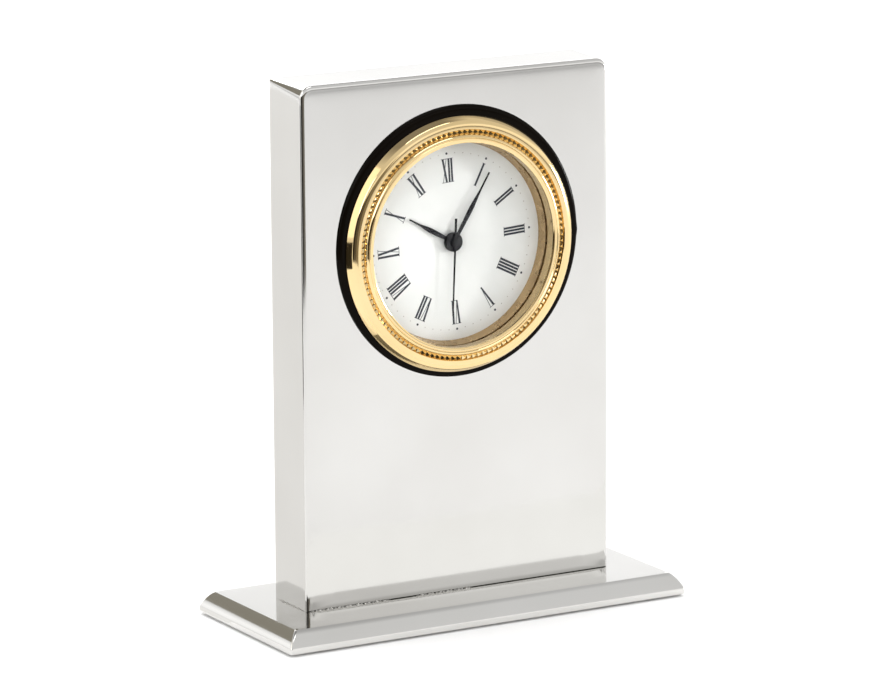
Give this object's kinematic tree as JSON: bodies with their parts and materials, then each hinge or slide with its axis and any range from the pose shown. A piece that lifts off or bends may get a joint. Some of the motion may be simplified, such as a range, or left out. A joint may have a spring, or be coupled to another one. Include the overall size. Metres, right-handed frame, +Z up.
{
  "type": "desk clock",
  "caption": "Upright nickel desk clock on a bevelled base, with a round pull-out clock insert: gilt beaded bezel, Roman dial, three hands, and its quartz movement.",
  "frame": {"origin": "middle of the felt's underside, where the clock stands", "axes": "+Z up, the dial faces -Y, +X to the right of a person who reads the dial"},
  "size_m": [0.1262, 0.0542, 0.1524],
  "materials": {
    "polished_nickel": "bright polished nickel plate",
    "gilt": "polished gilt",
    "felt": "dark pressed felt",
    "steel": "bright",
    "black_plastic": "glossy moulded",
    "rubber": "matt",
    "lens_glass": "clear",
    "dial_white": "pearl white lacquer with printed numerals",
    "hand_black": "satin black lacquer",
    "white_plastic": "moulded acetal",
    "brass": "plain",
    "amber_plastic": "moulded",
    "copper": "enamelled wire",
    "green_board": "solder mask"
  },
  "bodies": {
    "case": {"case_shell": "polished_nickel", "base_plate": "polished_nickel", "base_felt": "felt", "base_screw_left": "steel", "base_screw_right": "steel", "back_plate": "polished_nickel", "back_plate_screw_1": "steel", "back_plate_screw_2": "steel", "back_plate_screw_3": "steel", "back_plate_screw_4": "steel"},
    "insert": {"insert_case": "black_plastic", "insert_grip_ring": "rubber", "bezel": "gilt", "lens": "lens_glass", "reflector_ring": "gilt", "dial": "dial_white", "insert_cover": "black_plastic", "movement_front_plate": "white_plastic", "centre_bush": "brass", "movement_middle_plate": "brass", "movement_rear_plate": "white_plastic", "middle_plate_screw_1": "steel", "middle_plate_screw_2": "steel", "middle_plate_screw_3": "steel", "rear_plate_screw_1": "steel", "rear_plate_screw_2": "steel", "rear_plate_screw_3": "steel", "stator": "steel", "coil_core": "steel", "coil_bobbin": "amber_plastic", "coil_winding": "copper", "circuit_board": "green_board", "circuit_chip": "black_plastic", "quartz_crystal": "steel", "battery": "steel", "battery_contact_negative": "brass", "battery_contact_positive": "brass"},
    "battery_door": {"battery_door": "black_plastic"},
    "seconds": {"seconds_wheel": "steel", "second_hand": "hand_black"},
    "rotor": {"rotor": "white_plastic", "rotor_magnet": "steel"},
    "fifth_wheel": {"fifth_wheel": "white_plastic"},
    "third_wheel": {"third_wheel": "white_plastic"},
    "minutes": {"centre_wheel": "brass", "cannon_pinion": "brass", "minute_hand": "hand_black"},
    "minute_wheel": {"minute_wheel": "white_plastic"},
    "hours": {"hour_wheel": "white_plastic", "hour_hand": "hand_black"},
    "setting": {"setting_stem": "white_plastic", "setting_knob": "black_plastic"}
  },
  "joints": [
    {"name": "insert_pull", "type": "slide", "parent": "case", "child": "insert", "axis": [0, -1, 0], "range_m": [0, 0.025]},
    {"name": "battery_door_twist", "type": "hinge", "parent": "insert", "child": "battery_door", "pos_m": [0.01211, 0, 0.11948], "axis": [0, 1, 0], "range_deg": [0, 60]},
    {"name": "second_hand_spin", "type": "hinge", "parent": "insert", "child": "seconds", "pos_m": [0, 0, 0.1047], "axis": [0, 1, 0], "continuous": true},
    {"name": "rotor_spin", "type": "hinge", "parent": "insert", "child": "rotor", "pos_m": [-0.00973, 0, 0.1041], "axis": [0, 1, 0], "continuous": true},
    {"name": "fifth_wheel_spin", "type": "hinge", "parent": "insert", "child": "fifth_wheel", "pos_m": [-0.00524, 0, 0.10438], "axis": [0, 1, 0], "continuous": true},
    {"name": "third_wheel_spin", "type": "hinge", "parent": "insert", "child": "third_wheel", "pos_m": [0.00301, 0, 0.11074], "axis": [0, 1, 0], "continuous": true},
    {"name": "minute_hand_spin", "type": "hinge", "parent": "insert", "child": "minutes", "pos_m": [0, 0, 0.1047], "axis": [0, 1, 0], "continuous": true},
    {"name": "minute_wheel_spin", "type": "hinge", "parent": "insert", "child": "minute_wheel", "pos_m": [0.00331, 0, 0.0997], "axis": [0, 1, 0], "continuous": true},
    {"name": "hour_hand_spin", "type": "hinge", "parent": "insert", "child": "hours", "pos_m": [0, 0, 0.1047], "axis": [0, 1, 0], "continuous": true},
    {"name": "setting_knob_spin", "type": "hinge", "parent": "insert", "child": "setting", "pos_m": [0.00705, 0, 0.09407], "axis": [0, 1, 0], "continuous": true}
  ],
  "couplings": [
    {"joint": "fifth_wheel_spin", "follows": "second_hand_spin", "ratio": -6},
    {"joint": "rotor_spin", "follows": "second_hand_spin", "ratio": 30},
    {"joint": "third_wheel_spin", "follows": "second_hand_spin", "ratio": -0.13333},
    {"joint": "minute_hand_spin", "follows": "second_hand_spin", "ratio": 0.016667},
    {"joint": "minute_wheel_spin", "follows": "second_hand_spin", "ratio": -0.0055556},
    {"joint": "hour_hand_spin", "follows": "second_hand_spin", "ratio": 0.0013889},
    {"joint": "setting_knob_spin", "follows": "second_hand_spin", "ratio": 0.011111}
  ]
}
